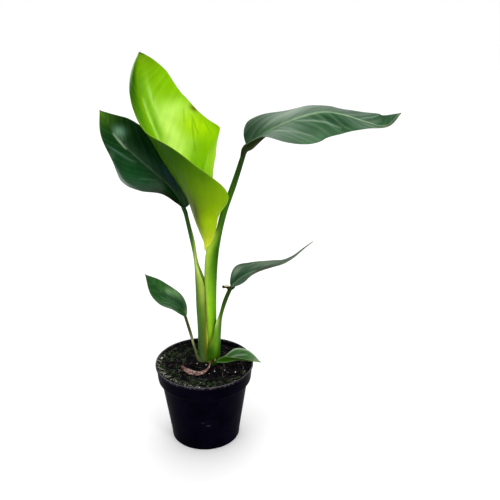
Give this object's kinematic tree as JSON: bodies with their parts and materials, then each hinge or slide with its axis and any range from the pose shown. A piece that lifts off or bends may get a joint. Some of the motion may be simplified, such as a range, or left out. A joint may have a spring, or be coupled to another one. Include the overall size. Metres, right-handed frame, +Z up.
{
  "type": "potted bird of paradise",
  "caption": "Young bird of paradise plant: paddle-shaped leaves on sheathed stalks, rooted in the soil of a round tapered nursery pot that stands on its flat base.",
  "frame": {"origin": "centre of the pot's flat underside", "axes": "+Z up, +X along the spread of the leaves, towards the right of the picture, -Y towards the viewer"},
  "size_m": [0.2928, 0.1088, 0.4097],
  "materials": {
    "pot": "satin",
    "soil": "matte",
    "crown": "matte",
    "leaf_a_stalk": "satin",
    "leaf_b_stalk": "satin",
    "leaf_c_stalk": "satin",
    "leaf_d_stalk": "satin",
    "leaf_e_stalk": "satin",
    "leaf_f_stalk": "satin",
    "leaf_a_blade": "satin",
    "leaf_b_blade": "satin",
    "leaf_c_blade": "satin",
    "leaf_d_blade": "satin",
    "leaf_e_blade": "satin",
    "leaf_f_blade": "satin",
    "dry_sheath": "matte"
  },
  "bodies": {
    "root": {"pot": "pot", "soil": "soil", "crown": "crown", "leaf_a_stalk": "leaf_a_stalk", "leaf_b_stalk": "leaf_b_stalk", "leaf_c_stalk": "leaf_c_stalk", "leaf_d_stalk": "leaf_d_stalk", "leaf_e_stalk": "leaf_e_stalk", "leaf_f_stalk": "leaf_f_stalk", "leaf_a_blade": "leaf_a_blade", "leaf_b_blade": "leaf_b_blade", "leaf_c_blade": "leaf_c_blade", "leaf_d_blade": "leaf_d_blade", "leaf_e_blade": "leaf_e_blade", "leaf_f_blade": "leaf_f_blade", "dry_sheath": "dry_sheath"}
  },
  "joints": []
}
